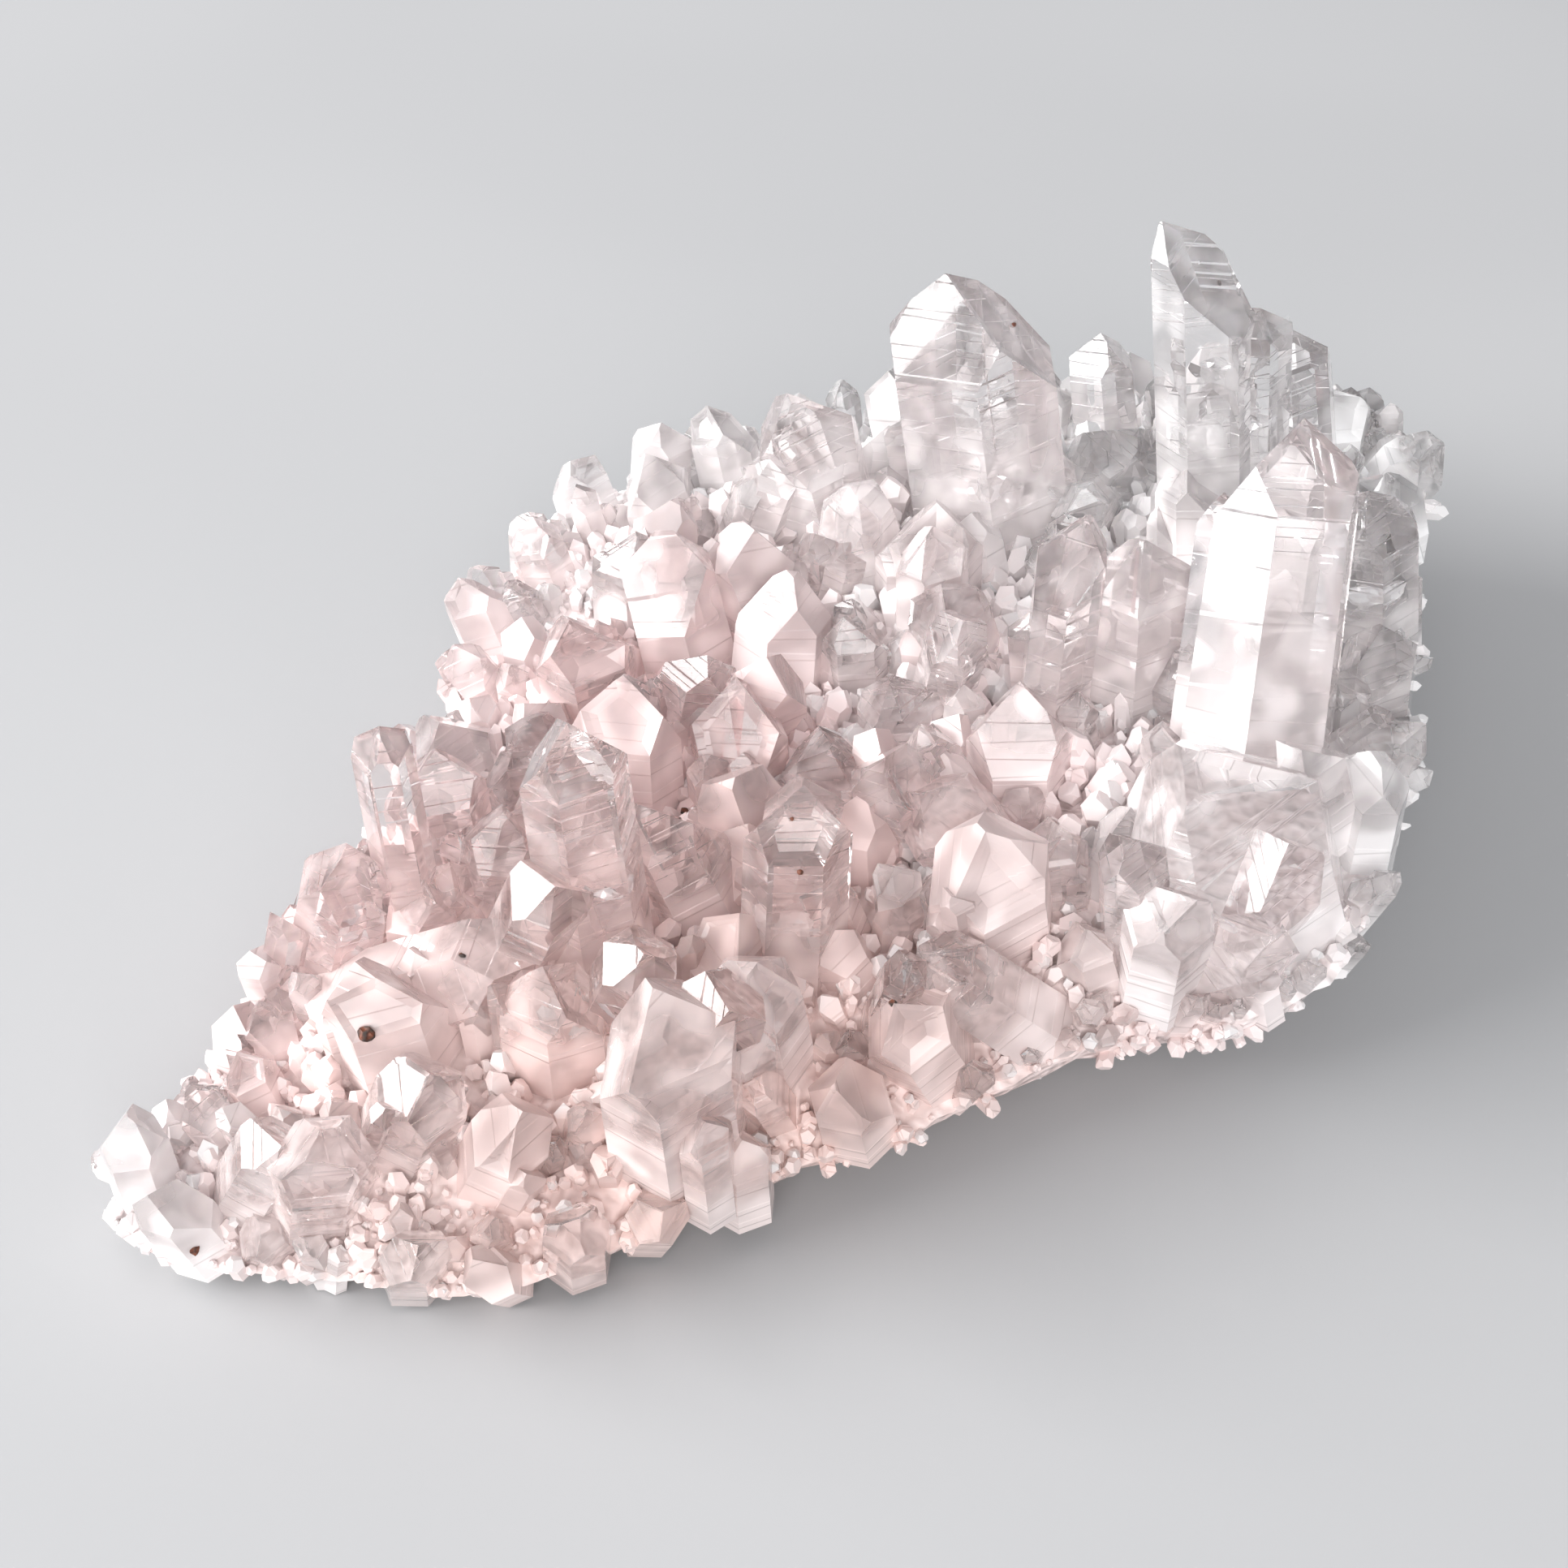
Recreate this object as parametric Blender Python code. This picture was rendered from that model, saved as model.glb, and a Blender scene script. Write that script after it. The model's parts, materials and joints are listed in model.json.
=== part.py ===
"""A palm-sized cluster of pink quartz: a lumpy plate with a crust of six-sided points.

The whole cluster grew as one piece, so it is one solid. The plate is lofted from rings round its
outline, and each point is a hexagonal prism whose tip is cut by six sloping planes, three of them
larger, as in real quartz. The origin is under the middle of the cluster, on the surface it lies on.
X runs along the cluster and Z up. Sizes are in millimetres, and MM turns them into metres.
"""

import math
import random
from typing import NamedTuple

import bmesh
import bpy
from mathutils import Matrix, Vector, noise

MM = 0.001
NAME = "quartz_cluster"
PINK = (0.84, 0.68, 0.66, 1.0)
GLOSSY_ROUGHNESS = 0.08
CLEARNESS = 0.7
QUARTZ_IOR = 1.544

# The plate's outline at its widest, seen from above, anticlockwise: x, y and the rim's height.
RIM = [
    (-54.0, -6.0, 3.0),
    (-51.0, -11.0, 2.0),
    (-44.0, -16.5, 1.8),
    (-36.5, -22.0, 2.2),
    (-26.0, -24.5, 3.0),
    (-13.5, -27.0, 4.0),
    (-1.0, -28.5, 5.0),
    (6.5, -32.5, 5.5),
    (12.5, -34.0, 7.0),
    (20.0, -30.5, 9.0),
    (28.0, -25.0, 11.0),
    (35.0, -18.0, 12.5),
    (43.0, -10.5, 13.0),
    (51.0, -3.0, 13.0),
    (53.0, 7.0, 12.0),
    (45.0, 15.5, 11.0),
    (34.0, 22.0, 10.0),
    (22.0, 29.0, 9.0),
    (9.0, 33.0, 8.0),
    (-4.0, 33.0, 6.5),
    (-12.0, 26.5, 5.5),
    (-19.0, 19.5, 5.0),
    (-28.0, 12.0, 5.0),
    (-38.0, 4.0, 4.5),
    (-47.0, -1.0, 3.5),
]
RIM_STEPS = 2


class Ring(NamedTuple):
    """A ring of the plate, as shares of the outline, of the rim's height and of the rise to the crown."""

    outline: float
    rim_height: float
    rise: float


# From the flat underside out to the rim, then in over the top.
RINGS = [
    Ring(0.66, 0.0, 0.0),
    Ring(0.86, 0.3, 0.0),
    Ring(0.97, 0.8, 0.0),
    Ring(1.0, 1.15, 0.05),
    Ring(0.93, 1.0, 0.5),
    Ring(0.78, 1.0, 0.9),
    Ring(0.54, 1.0, 1.0),
    Ring(0.28, 1.0, 1.0),
]
CROWN_HEIGHT = 11.5
CROWN_SLOPE = 0.09
HOLLOW_DEPTH = 2.5
HOLLOW_CENTRE = (-3.0, 5.0)
HOLLOW_RADIUS = 17.0
LUMP_SIZE = 7.0
LUMP_HEIGHT = 1.1

# The six tip faces slope as quartz's do: their normals stand this far from the point's axis.
TIP_FACE_ANGLE = math.radians(51.8)
CORNER_SHARE = 0.54
ROOT_SHARE = 0.55
ROOT_LEAST = 3.0
# How far each tip face stands back from the tip, as shares of the width. Three cut deeper.
LARGE_FACE_BACK = (-0.02, 0.05)
SMALL_FACE_BACK = (-0.3, 0.0)
# A flat top tilts at most this much each way, and a point is this much flatter than it is wide.
TOP_TILT = 0.3
FLATNESS = (0.78, 1.0)


class Point(NamedTuple):
    """A quartz point that stands out.

    Its foot is at x, y on the plate. Its lean from upright, the way it leans and the turn about its
    own axis are in degrees. The taper is its width at the top as a share of that at its foot, and
    long_face and blunt are the shares of its width that one larger face, or a flat top, takes off.
    """

    name: str
    x: float
    y: float
    length: float
    width: float
    lean: float
    toward: float
    turn: float
    taper: float
    long_face: float
    blunt: float


POINTS = [
    Point("tall_front", 17.8, -21.3, 23.2, 11.2, 30, 46, 10, 0.8, 0.0, 0.0),
    Point("tall_back", 32.2, -1.0, 24.6, 6.6, 8, 146, -64, 0.95, 0.5, 0.0),
    Point("tall_back_second", 35.6, -1.9, 18.0, 5.8, 7, 140, 40, 0.9, 0.3, 0.0),
    Point("tall_back_third", 39.4, -3.0, 15.0, 6.0, 12, 120, 15, 0.9, 0.2, 0.0),
    Point("broad_back", 21.6, 10.4, 20.5, 11.8, 9, 146, -34, 0.96, 0.12, 0.0),
    Point("stub_back", 26.4, 5.5, 6.5, 4.8, 40, -140, 0, 0.9, 0.0, 0.2),
    Point("slim_middle", 11.0, -9.5, 16.6, 5.8, 1, -34, -154, 0.92, 0.3, 0.0),
    Point("pink_wall", 17.5, -10.5, 12.5, 7.8, 3, 146, 20, 0.9, 0.1, 0.1),
    Point("clear_left", -30.4, 1.6, 15.9, 4.5, 2, 116, 66, 0.9, 0.15, 0.0),
    Point("block_left", -21.7, 12.6, 7.2, 5.6, 12, -136, 35, 0.9, 0.2, 0.0),
    Point("blunt_left", -25.5, 5.7, 8.5, 5.4, 2, 146, 10, 0.9, 0.0, 0.0),
    Point("tall_left", -22.7, -8.4, 19.0, 6.6, 3, 146, 18, 0.88, 0.0, 0.0),
    Point("lean_left", -15.2, -8.4, 9.0, 6.2, 24, 123, 8, 0.9, 0.2, 0.0),
    Point("flat_top", -13.7, -15.6, 13.0, 6.2, 5, 35, -4, 0.94, 0.0, 0.15),
    Point("egg_left", -36.1, 3.1, 9.8, 6.4, 15, -34, 30, 0.85, 0.0, 0.1),
    Point("mirror_left", -26.7, -5.3, 12.5, 6.2, 26, -83, 40, 0.9, 0.2, 0.0),
    Point("mirror_middle", -24.2, -12.1, 12.0, 5.0, 28, -96, 32, 0.9, 0.1, 0.0),
    Point("mirror_low", -21.8, -16.9, 12.5, 5.4, 34, -101, 23, 0.9, 0.1, 0.0),
    Point("milky_front", -25.2, -22.0, 12.5, 9.4, 14, -130, 25, 0.86, 0.0, 0.3),
    Point("milky_small", -18.3, -20.3, 8.8, 5.6, 12, -154, 50, 0.9, 0.0, 0.1),
    Point("slim_front", -11.9, -22.6, 8.5, 3.4, 20, -96, 30, 0.9, 0.0, 0.0),
    Point("dark_front", -10.1, -26.0, 7.8, 5.8, 26, -165, 25, 0.9, 0.0, 0.0),
    Point("side_front", -4.9, -27.0, 9.6, 5.4, 42, 160, 10, 0.9, 0.0, 0.0),
    Point("roof_middle", -1.5, -19.8, 9.6, 8.2, 17, -153, 20, 0.9, 0.0, 0.0),
    Point("side_middle", 0.8, -14.6, 8.2, 6.2, 35, 178, 45, 0.9, 0.0, 0.0),
    Point("broad_front", 12.1, -26.7, 11.2, 13.5, 20, 173, 22, 0.9, 0.0, 0.2),
    Point("mirror_right", 9.9, -29.0, 10.0, 7.4, 21, -103, 36, 0.9, 0.0, 0.0),
    Point("upright_front", 3.2, -27.2, 9.8, 4.6, 9, 178, 30, 0.9, 0.0, 0.1),
    Point("lying_front", 6.5, -30.2, 7.0, 5.6, 42, -77, 15, 0.9, 0.0, 0.0),
    Point("milky_right", 2.8, -29.6, 8.6, 5.6, 15, -134, 35, 0.88, 0.0, 0.25),
    Point("rim_right_high", 24.4, -24.4, 5.6, 5.2, 43, -34, 20, 0.9, 0.0, 0.0),
    Point("rim_right_low", 20.8, -28.8, 7.4, 5.4, 2, -173, 55, 0.9, 0.0, 0.15),
    Point("block_right", 34.3, -15.2, 11.2, 6.4, 10, 146, 28, 0.92, 0.0, 0.15),
    Point("cap_right", 29.1, -20.4, 7.6, 5.6, 12, -162, 10, 0.9, 0.0, 0.0),
    Point("pink_back", 10.9, 3.1, 9.8, 5.4, 3, 146, 15, 0.9, 0.0, 0.0),
    Point("mirror_back", 7.9, -1.8, 10.8, 4.8, 23, -115, 40, 0.9, 0.0, 0.0),
    Point("front_left_mirror", -47.0, -10.0, 8.5, 4.8, 28, -67, 38, 0.9, 0.2, 0.0),
    Point("front_left_round", -44.5, -13.0, 9.5, 6.0, 24, -92, 5, 0.88, 0.0, 0.2),
    Point("lying_left", -34.5, -3.5, 11.0, 7.5, 62, -40, 15, 0.85, 0.0, 0.0),
    Point("diamond_left", -38.3, -12.5, 8.0, 5.4, 23, -73, 40, 0.9, 0.0, 0.0),
    Point("low_front", -35.0, -17.0, 6.0, 5.8, 23, -64, 42, 0.9, 0.0, 0.0),
    Point("edge_back", 3.6, 27.0, 6.0, 6.2, 14, 146, 33, 0.9, 0.0, 0.0),
    Point("edge_back_pale", 16.0, 26.5, 6.5, 4.4, 4, 146, 12, 0.9, 0.0, 0.0),
    Point("edge_back_small", 19.2, 25.5, 6.8, 3.4, 6, 120, 40, 0.9, 0.0, 0.0),
    Point("back_right", 47.0, 2.0, 5.0, 7.0, 12, 60, 5, 0.9, 0.0, 0.2),
    Point("back_right_low", 47.5, -4.0, 4.5, 6.0, 30, -30, 25, 0.9, 0.0, 0.2),
]


class Fillers(NamedTuple):
    """Smaller points between the others: how many, their widths, and lengths as shares of the width."""

    count: int
    least_width: float
    most_width: float
    least_length: float
    most_length: float


FILLERS = [
    Fillers(44, 5.8, 8.0, 0.9, 1.5),
    Fillers(60, 4.6, 6.4, 0.9, 1.6),
]
FILLER_TAPER = (0.82, 0.96)
FILLER_LONG_FACE = (0.0, 0.25)
FILLER_BLUNT = (0.0, 0.0, 0.1, 0.2)
FILLER_GAP = 0.5
FILLER_TILT = 22.0
FILLER_UPWARD = 0.9
# A filler grows where the plate's top is at least this level and this high, within the spread of a
# face's middle, and takes the roomiest of a few such seats.
SEAT_LEAST_SLOPE = 0.3
SEAT_LEAST_HEIGHT = 2.8
SEAT_SPREAD = 1.5
SEATS_TRIED = 14
# Fillers shrink to this share at the rim, and reach their full size this far in from it.
RIM_SHARE = 0.5
RIM_BAND = 12.0
SEED = 11

# The floor of the roots, just above the underside, and the middle of the finished cluster.
ROOT_FLOOR = 0.3
MIDDLE = (0.0, 0.5)


def clear_scene():
    for obj in list(bpy.data.objects):
        bpy.data.objects.remove(obj, do_unlink=True)


def new_object(name, bm, collection):
    mesh = bpy.data.meshes.new(name)
    bm.to_mesh(mesh)
    bm.free()
    obj = bpy.data.objects.new(name, mesh)
    collection.objects.link(obj)
    return obj


def smooth_rim():
    """The outline as a closed curve through its points, RIM_STEPS points to each stretch."""
    count = len(RIM)
    curve = []
    for i in range(count):
        before, here, after, beyond = (Vector(RIM[(i + k) % count]) for k in (-1, 0, 1, 2))
        for step in range(RIM_STEPS):
            t = step / RIM_STEPS
            bend = (after - before) * t
            bend += (2 * before - 5 * here + 4 * after - beyond) * t * t
            bend += (3 * here - 3 * after + beyond - before) * t * t * t
            curve.append(here + bend / 2)
    return curve


def crown(x, y):
    """The height that the top of the plate reaches away from its rim."""
    away = Vector((x - HOLLOW_CENTRE[0], y - HOLLOW_CENTRE[1])).length / HOLLOW_RADIUS
    return CROWN_HEIGHT + CROWN_SLOPE * x - HOLLOW_DEPTH * math.exp(-away * away)


def lump(place):
    """A small shift that makes the plate knobbly. The flat underside stays flat."""
    shift = noise.noise_vector(place / LUMP_SIZE) * LUMP_HEIGHT
    shift.z *= min(1.0, place.z / LUMP_SIZE)
    return shift


def make_plate(collection):
    """Rings of the outline, bridged from the flat underside, out to the rim and in over the crown."""
    outline = smooth_rim()
    bm = bmesh.new()
    loops = []
    for number, ring in enumerate(RINGS):
        ends = number in (0, len(RINGS) - 1)
        circle = bmesh.ops.create_circle(bm, segments=len(outline), radius=1.0, cap_ends=ends)["verts"]
        for vert, (x, y, rim_height) in zip(circle, outline):
            x *= ring.outline
            y *= ring.outline
            height = rim_height * ring.rim_height + (crown(x, y) - rim_height) * ring.rise
            place = Vector((x, y, max(height, 0.0)))
            vert.co = (place + lump(place)) * MM
        loops.append([e for e in bm.edges if e.verts[0] in circle and e.verts[1] in circle])
    for inner, outer in zip(loops, loops[1:]):
        bmesh.ops.bridge_loops(bm, edges=inner + outer)
    caps = [f for f in bm.faces if len(f.verts) > 4]
    top = max(caps, key=lambda f: f.calc_center_median().z)
    bmesh.ops.poke(bm, faces=[top])
    bmesh.ops.recalc_face_normals(bm, faces=bm.faces)
    return new_object(NAME, bm, collection)


def cut_off(bm, place, normal):
    """Takes off what lies beyond a plane, and closes the cut with one flat face."""
    everything = bm.verts[:] + bm.edges[:] + bm.faces[:]
    cut = bmesh.ops.bisect_plane(
        bm, geom=everything, plane_co=place, plane_no=normal, clear_outer=True
    )["geom_cut"]
    edges = [g for g in cut if isinstance(g, bmesh.types.BMEdge)]
    if len(edges) > 2:
        bmesh.ops.contextual_create(bm, geom=edges)


def make_point(length, width, taper, long_face, blunt, rng):
    """One quartz point with its tip at z = length and its root below zero, in metres."""
    bm = bmesh.new()
    root = max(ROOT_LEAST, ROOT_SHARE * width)
    depth = root + length + width
    corner = CORNER_SHARE * width
    bmesh.ops.create_cone(
        bm,
        cap_ends=True,
        segments=6,
        radius1=corner,
        radius2=corner * taper,
        depth=depth,
        matrix=Matrix.Translation((0, 0, depth / 2 - root)),
    )
    # The prism's flats face 0, 60, 120 degrees and so on, and a tip face stands over each.
    for i in range(6):
        turn = math.radians(60 * i)
        normal = Vector((math.cos(turn), math.sin(turn), 0)) * math.sin(TIP_FACE_ANGLE)
        normal.z = math.cos(TIP_FACE_ANGLE)
        larger = i % 2 == 0
        back = rng.uniform(*(LARGE_FACE_BACK if larger else SMALL_FACE_BACK))
        if i == 0:
            back += long_face
        cut_off(bm, Vector((0, 0, length)) - normal * back * width, normal)
    if blunt > 0:
        tilt = Vector((rng.uniform(-TOP_TILT, TOP_TILT), rng.uniform(-TOP_TILT, TOP_TILT), 0))
        top = (Vector((0, 0, 1)) + tilt).normalized()
        cut_off(bm, Vector((0, 0, length - blunt * width)), top)
    bmesh.ops.scale(bm, vec=(1.0, rng.uniform(*FLATNESS), 1.0), verts=bm.verts)
    tip = max(v.co.z for v in bm.verts)
    bmesh.ops.translate(bm, vec=(0, 0, length - tip), verts=bm.verts)
    bmesh.ops.scale(bm, vec=(MM, MM, MM), verts=bm.verts)
    return bm


def turned(turn, lean, toward):
    """Turns a point about its own axis, then leans it over, all in degrees."""
    way = math.radians(toward)
    across = Vector((-math.sin(way), math.cos(way), 0))
    return Matrix.Rotation(math.radians(lean), 4, across) @ Matrix.Rotation(math.radians(turn), 4, "Z")


def surface_at(plate, x, y):
    """The spot on the plate nearest to one just over its crown, so that a rim point sits on the rim."""
    _, place, _, _ = plate.closest_point_on_mesh(Vector((x, y, crown(x, y))) * MM)
    return place


def filler_seats(plate):
    """The middles of the faces where a filler may grow."""
    return [
        face.center.copy()
        for face in plate.data.polygons
        if face.normal.z > SEAT_LEAST_SLOPE and face.center.z > SEAT_LEAST_HEIGHT * MM
    ]


def roomiest_seat(plate, seats, taken, rng):
    """Of a few seats drawn by chance, the one with the most room round it, and the plate's slope there."""
    best = None
    for _ in range(SEATS_TRIED):
        aside = Vector((rng.uniform(-1, 1), rng.uniform(-1, 1), 0)) * SEAT_SPREAD * MM
        _, foot, normal, _ = plate.closest_point_on_mesh(rng.choice(seats) + aside)
        room = min((foot - other).length - gap * MM for other, gap in taken)
        if best is None or room > best[0]:
            best = (room, foot, normal)
    return best[1:]


def rim_share(place, outline):
    """How much a filler shrinks for being near the rim."""
    away = min(math.hypot(place.x / MM - x, place.y / MM - y) for x, y, _ in outline)
    return RIM_SHARE + (1 - RIM_SHARE) * min(1.0, away / RIM_BAND)


def make_points(plate, collection):
    """Every point of the crust in one mesh: the ones that stand out, then the fillers."""
    rng = random.Random(SEED)
    outline = smooth_rim()
    crust = bmesh.new()
    taken = []

    def add(bm, turn, foot, width):
        bmesh.ops.transform(bm, matrix=Matrix.Translation(foot) @ turn, verts=bm.verts)
        cut_off(bm, Vector((0, 0, ROOT_FLOOR * MM)), Vector((0, 0, -1)))
        mesh = bpy.data.meshes.new("point")
        bm.to_mesh(mesh)
        bm.free()
        crust.from_mesh(mesh)
        bpy.data.meshes.remove(mesh)
        taken.append((foot, width * FILLER_GAP))

    for point in POINTS:
        foot = surface_at(plate, point.x, point.y)
        bm = make_point(point.length, point.width, point.taper, point.long_face, point.blunt, rng)
        add(bm, turned(point.turn, point.lean, point.toward), foot, point.width)

    seats = filler_seats(plate)
    for size in FILLERS:
        for _ in range(size.count):
            foot, normal = roomiest_seat(plate, seats, taken, rng)
            width = rng.uniform(size.least_width, size.most_width) * rim_share(foot, outline)
            length = width * rng.uniform(size.least_length, size.most_length)
            tilt = math.tan(math.radians(rng.uniform(0, FILLER_TILT)))
            aside = rng.uniform(0, math.tau)
            way = (normal + Vector((0, 0, FILLER_UPWARD))).normalized()
            way += Vector((math.cos(aside), math.sin(aside), 0)) * tilt
            lean = math.degrees(way.angle(Vector((0, 0, 1))))
            toward = math.degrees(math.atan2(way.y, way.x))
            blunt = rng.choice(FILLER_BLUNT)
            taper = rng.uniform(*FILLER_TAPER)
            long_face = rng.uniform(*FILLER_LONG_FACE)
            bm = make_point(length, width, taper, long_face, blunt, rng)
            add(bm, turned(rng.uniform(0, 360), lean, toward), foot, width)
    return new_object("points", crust, collection)


def join(plate, points):
    """One closed solid of the plate and its points."""
    union = plate.modifiers.new("union", "BOOLEAN")
    union.operation = "UNION"
    union.solver = "EXACT"
    union.use_self = True
    union.object = points
    graph = bpy.context.evaluated_depsgraph_get()
    joined = bpy.data.meshes.new_from_object(plate.evaluated_get(graph))
    plate.modifiers.clear()
    plate.data = joined
    bpy.data.objects.remove(points, do_unlink=True)


def islands(bm):
    """The separate shells of a mesh, as lists of faces."""
    waiting = set(bm.faces)
    shells = []
    while waiting:
        shell = []
        edge_of_search = [waiting.pop()]
        while edge_of_search:
            face = edge_of_search.pop()
            shell.append(face)
            for edge in face.edges:
                for neighbour in edge.link_faces:
                    if neighbour in waiting:
                        waiting.remove(neighbour)
                        edge_of_search.append(neighbour)
        shells.append(shell)
    return shells


def keep_outside(obj):
    """Takes out the shells round gaps that the points closed in, and leaves the outside."""
    bm = bmesh.new()
    bm.from_mesh(obj.data)
    shells = sorted(islands(bm), key=len)
    print("closed-in gaps", len(shells) - 1)
    for shell in shells[:-1]:
        bmesh.ops.delete(bm, geom=shell, context="FACES")
    bm.to_mesh(obj.data)
    bm.free()


def make_material():
    material = bpy.data.materials.new("pink_quartz")
    material.use_nodes = True
    shader = material.node_tree.nodes["Principled BSDF"]
    shader.inputs["Base Color"].default_value = PINK
    shader.inputs["Metallic"].default_value = 0.0
    shader.inputs["Roughness"].default_value = GLOSSY_ROUGHNESS
    shader.inputs["IOR"].default_value = QUARTZ_IOR
    shader.inputs["Transmission Weight"].default_value = CLEARNESS
    material.diffuse_color = PINK
    return material


def main():
    clear_scene()
    noise.seed_set(SEED)
    collection = bpy.data.collections.new(NAME)
    bpy.context.scene.collection.children.link(collection)
    plate = make_plate(collection)
    points = make_points(plate, collection)
    join(plate, points)
    keep_outside(plate)
    plate.data.transform(Matrix.Translation((-MIDDLE[0] * MM, -MIDDLE[1] * MM, 0)))
    plate.data.materials.clear()
    plate.data.materials.append(make_material())


main()
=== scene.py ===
# %% [markdown]
# A palm-sized cluster of pink quartz. The real thing grew in a hollow in the rock: silica first
# lined the rock with a milky crust, then six-sided points grew out of it, clearer towards their
# tips. The model is built in that order: the plate, the points that stand out, the smaller points,
# the fine crystals between them, and last a few specks of iron oxide.

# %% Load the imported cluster
import json
import math
import random
from typing import NamedTuple

import bmesh
import bpy
from mathutils import Matrix, Vector, noise

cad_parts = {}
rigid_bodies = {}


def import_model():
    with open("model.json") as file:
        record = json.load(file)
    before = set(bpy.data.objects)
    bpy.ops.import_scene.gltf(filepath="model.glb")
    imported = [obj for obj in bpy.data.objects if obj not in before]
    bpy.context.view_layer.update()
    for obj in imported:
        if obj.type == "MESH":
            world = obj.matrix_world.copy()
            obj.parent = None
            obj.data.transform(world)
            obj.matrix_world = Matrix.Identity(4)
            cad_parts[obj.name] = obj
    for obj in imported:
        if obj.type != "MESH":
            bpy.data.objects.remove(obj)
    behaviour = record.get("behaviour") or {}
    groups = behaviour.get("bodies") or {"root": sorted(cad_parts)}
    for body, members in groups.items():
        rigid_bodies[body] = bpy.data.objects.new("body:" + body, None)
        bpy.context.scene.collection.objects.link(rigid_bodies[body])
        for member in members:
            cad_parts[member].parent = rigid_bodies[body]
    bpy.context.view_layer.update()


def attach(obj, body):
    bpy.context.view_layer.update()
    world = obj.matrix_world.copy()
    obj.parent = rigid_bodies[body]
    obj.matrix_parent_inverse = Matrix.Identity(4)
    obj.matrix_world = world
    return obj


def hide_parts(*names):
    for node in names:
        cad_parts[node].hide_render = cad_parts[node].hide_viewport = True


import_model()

MM = 0.001
SEED = 11
NODE = "quartz_cluster"
noise.seed_set(SEED)
scene = bpy.context.scene

# %% [markdown]
# The photo was taken by hand, close over the front long side, looking about 42 degrees down. The
# short distance gives the strong perspective: the thin end looks wide and the far rim small.

# %% Camera
CAMERA_AWAY = 0.160
CAMERA_DOWN = math.radians(42)
CAMERA_ROUND = math.radians(34)
CAMERA_ANGLE = math.radians(39)
LOOK_AT = Vector((0.001, 0.0065, 0.0))

level = Vector((math.sin(CAMERA_ROUND), math.cos(CAMERA_ROUND), 0))
sideways = Vector((math.cos(CAMERA_ROUND), -math.sin(CAMERA_ROUND), 0))
forward = level * math.cos(CAMERA_DOWN) - Vector((0, 0, math.sin(CAMERA_DOWN)))
camera = bpy.data.objects.new("camera", bpy.data.cameras.new("camera"))
camera.location = LOOK_AT - forward * CAMERA_AWAY
camera.rotation_mode = "QUATERNION"
camera.rotation_quaternion = forward.to_track_quat("-Z", "Y")
camera.data.angle = CAMERA_ANGLE
camera.data.clip_start = 0.01
scene.collection.objects.link(camera)
scene.camera = camera
print("camera at, in mm", [round(v / MM) for v in camera.location])

# %% [markdown]
# Light: one large low window at the left, a weaker one in front, and a pale room round them. The
# left window is far brighter than the room, so a facet that mirrors it goes pure white, and the
# shadow falls to the right with a soft edge. The floor is a plain pale slab. Light crosses many
# faces before it comes out of the cluster again, so it is given eleven bounces: with far fewer the
# quartz goes grey. The room is too even to need aimed rays, and two lights need no light tree.

# %% Light and floor
SKY = (0.95, 0.965, 1.0, 1.0)
# The room is bright towards the window and dim from here on, on a scale of 1 down to -1.
DIM_FROM = -0.8
ROOM_DIM = 0.44
ROOM_BRIGHT = 0.76
WINDOW_WAY = (-0.88, -0.06, 0.40)
WINDOW_DISTANCE = 1.5
WINDOW_SIZE = (1.35, 0.9)
WINDOW_POWER = 48.0
FILL_WAY = (0.0, -0.85, 0.5)
FILL_SIZE = (1.2, 0.8)
FILL_POWER = 15.0
FLOOR_HALF = 0.8
BOUNCES = 11

world = bpy.data.worlds.new("room")
world.use_nodes = True
room = world.node_tree
toward = (sideways * WINDOW_WAY[0] + level * WINDOW_WAY[1] + Vector((0, 0, WINDOW_WAY[2]))).normalized()
facing = room.nodes.new("ShaderNodeVectorMath")
facing.operation = "DOT_PRODUCT"
facing.inputs[1].default_value = toward
room.links.new(room.nodes.new("ShaderNodeTexCoord").outputs["Generated"], facing.inputs[0])
fade = room.nodes.new("ShaderNodeMapRange")
fade.interpolation_type = "SMOOTHSTEP"
fade.inputs["From Min"].default_value = DIM_FROM
fade.inputs["To Min"].default_value = ROOM_DIM
fade.inputs["To Max"].default_value = ROOM_BRIGHT
room.links.new(facing.outputs["Value"], fade.inputs["Value"])
room.links.new(fade.outputs["Result"], room.nodes["Background"].inputs["Strength"])
room.nodes["Background"].inputs["Color"].default_value = SKY
scene.world = world
world.cycles.sampling_method = "NONE"


def add_window(name, way, distance, size, power):
    """A rectangular light that faces the cluster. Its way is sideways, level and up."""
    aim = (sideways * way[0] + level * way[1] + Vector((0, 0, way[2]))).normalized()
    lamp = bpy.data.lights.new(name, "AREA")
    lamp.shape = "RECTANGLE"
    lamp.size, lamp.size_y = size
    lamp.energy = power
    light = bpy.data.objects.new(name, lamp)
    light.location = LOOK_AT + aim * distance
    light.visible_camera = False
    light.rotation_mode = "QUATERNION"
    light.rotation_quaternion = (-aim).to_track_quat("-Z", "Y")
    scene.collection.objects.link(light)


add_window("window", WINDOW_WAY, WINDOW_DISTANCE, WINDOW_SIZE, WINDOW_POWER)
add_window("fill", FILL_WAY, WINDOW_DISTANCE, FILL_SIZE, FILL_POWER)

bm = bmesh.new()
bmesh.ops.create_grid(bm, x_segments=2, y_segments=2, size=FLOOR_HALF)
floor_mesh = bpy.data.meshes.new("floor")
bm.to_mesh(floor_mesh)
bm.free()
floor = bpy.data.objects.new("floor", floor_mesh)
scene.collection.objects.link(floor)

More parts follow.
